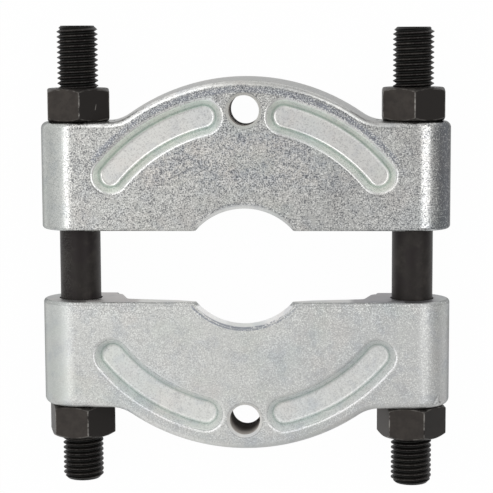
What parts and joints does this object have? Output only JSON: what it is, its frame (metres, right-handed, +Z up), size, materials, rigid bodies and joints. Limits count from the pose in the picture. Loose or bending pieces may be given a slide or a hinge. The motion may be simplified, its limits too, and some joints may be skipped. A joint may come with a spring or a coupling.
{
  "type": "bearing separator",
  "caption": "Two arched half plates with knife-edge openings, drawn together on a pair of threaded studs by hexagon nuts, lying on its back.",
  "frame": {"origin": "on the table, under the centre of the tool's bounding box", "axes": "+X across the plates from the left stud to the right stud, +Y along the studs towards the plate with the longer stud ends, +Z up out of the plates' flat front faces"},
  "size_m": [0.1604, 0.181, 0.028],
  "materials": {
    "zinc": "bright zinc over a shot-blasted steel forging",
    "stud_black": "black oxide, threaded",
    "nut_black": "black oxide, oiled"
  },
  "bodies": {
    "lower_plate": {"lower_plate": "zinc"},
    "left_stud": {"left_stud": "stud_black"},
    "right_stud": {"right_stud": "stud_black"},
    "upper_plate": {"upper_plate": "zinc"},
    "upper_left_nut": {"upper_left_nut": "nut_black"},
    "upper_right_nut": {"upper_right_nut": "nut_black"},
    "lower_left_nut": {"lower_left_nut": "nut_black"},
    "lower_right_nut": {"lower_right_nut": "nut_black"}
  },
  "joints": [
    {"name": "left_stud_slide", "type": "slide", "parent": "lower_plate", "child": "left_stud", "axis": [0, 1, 0], "range_m": [0, 0.018]},
    {"name": "right_stud_slide", "type": "slide", "parent": "lower_plate", "child": "right_stud", "axis": [0, 1, 0], "range_m": [0, 0.018]},
    {"name": "upper_plate_slide", "type": "slide", "parent": "left_stud", "child": "upper_plate", "axis": [0, 1, 0], "range_m": [-0.0277, 0.023]},
    {"name": "upper_left_nut_turn", "type": "hinge", "parent": "upper_plate", "child": "upper_left_nut", "pos_m": [-0.0655, 0.0598, 0.014], "axis": [0, 1, 0], "range_deg": [-4990, 4145]},
    {"name": "upper_right_nut_turn", "type": "hinge", "parent": "upper_plate", "child": "upper_right_nut", "pos_m": [0.0655, 0.0598, 0.014], "axis": [0, 1, 0], "range_deg": [-4990, 4145]},
    {"name": "lower_left_nut_turn", "type": "hinge", "parent": "lower_plate", "child": "lower_left_nut", "pos_m": [-0.0655, -0.065, 0.014], "axis": [0, 1, 0], "range_deg": [-3245, 0]},
    {"name": "lower_right_nut_turn", "type": "hinge", "parent": "lower_plate", "child": "lower_right_nut", "pos_m": [0.0655, -0.065, 0.014], "axis": [0, 1, 0], "range_deg": [-3245, 0]}
  ],
  "couplings": [
    {"joint": "upper_left_nut_turn", "follows": "upper_plate_slide", "rad_per_m": 3141.6},
    {"joint": "upper_right_nut_turn", "follows": "upper_plate_slide", "rad_per_m": 3141.6},
    {"joint": "right_stud_slide", "follows": "left_stud_slide", "ratio": 1},
    {"joint": "lower_left_nut_turn", "follows": "left_stud_slide", "rad_per_m": -3141.6},
    {"joint": "lower_right_nut_turn", "follows": "left_stud_slide", "rad_per_m": -3141.6}
  ]
}
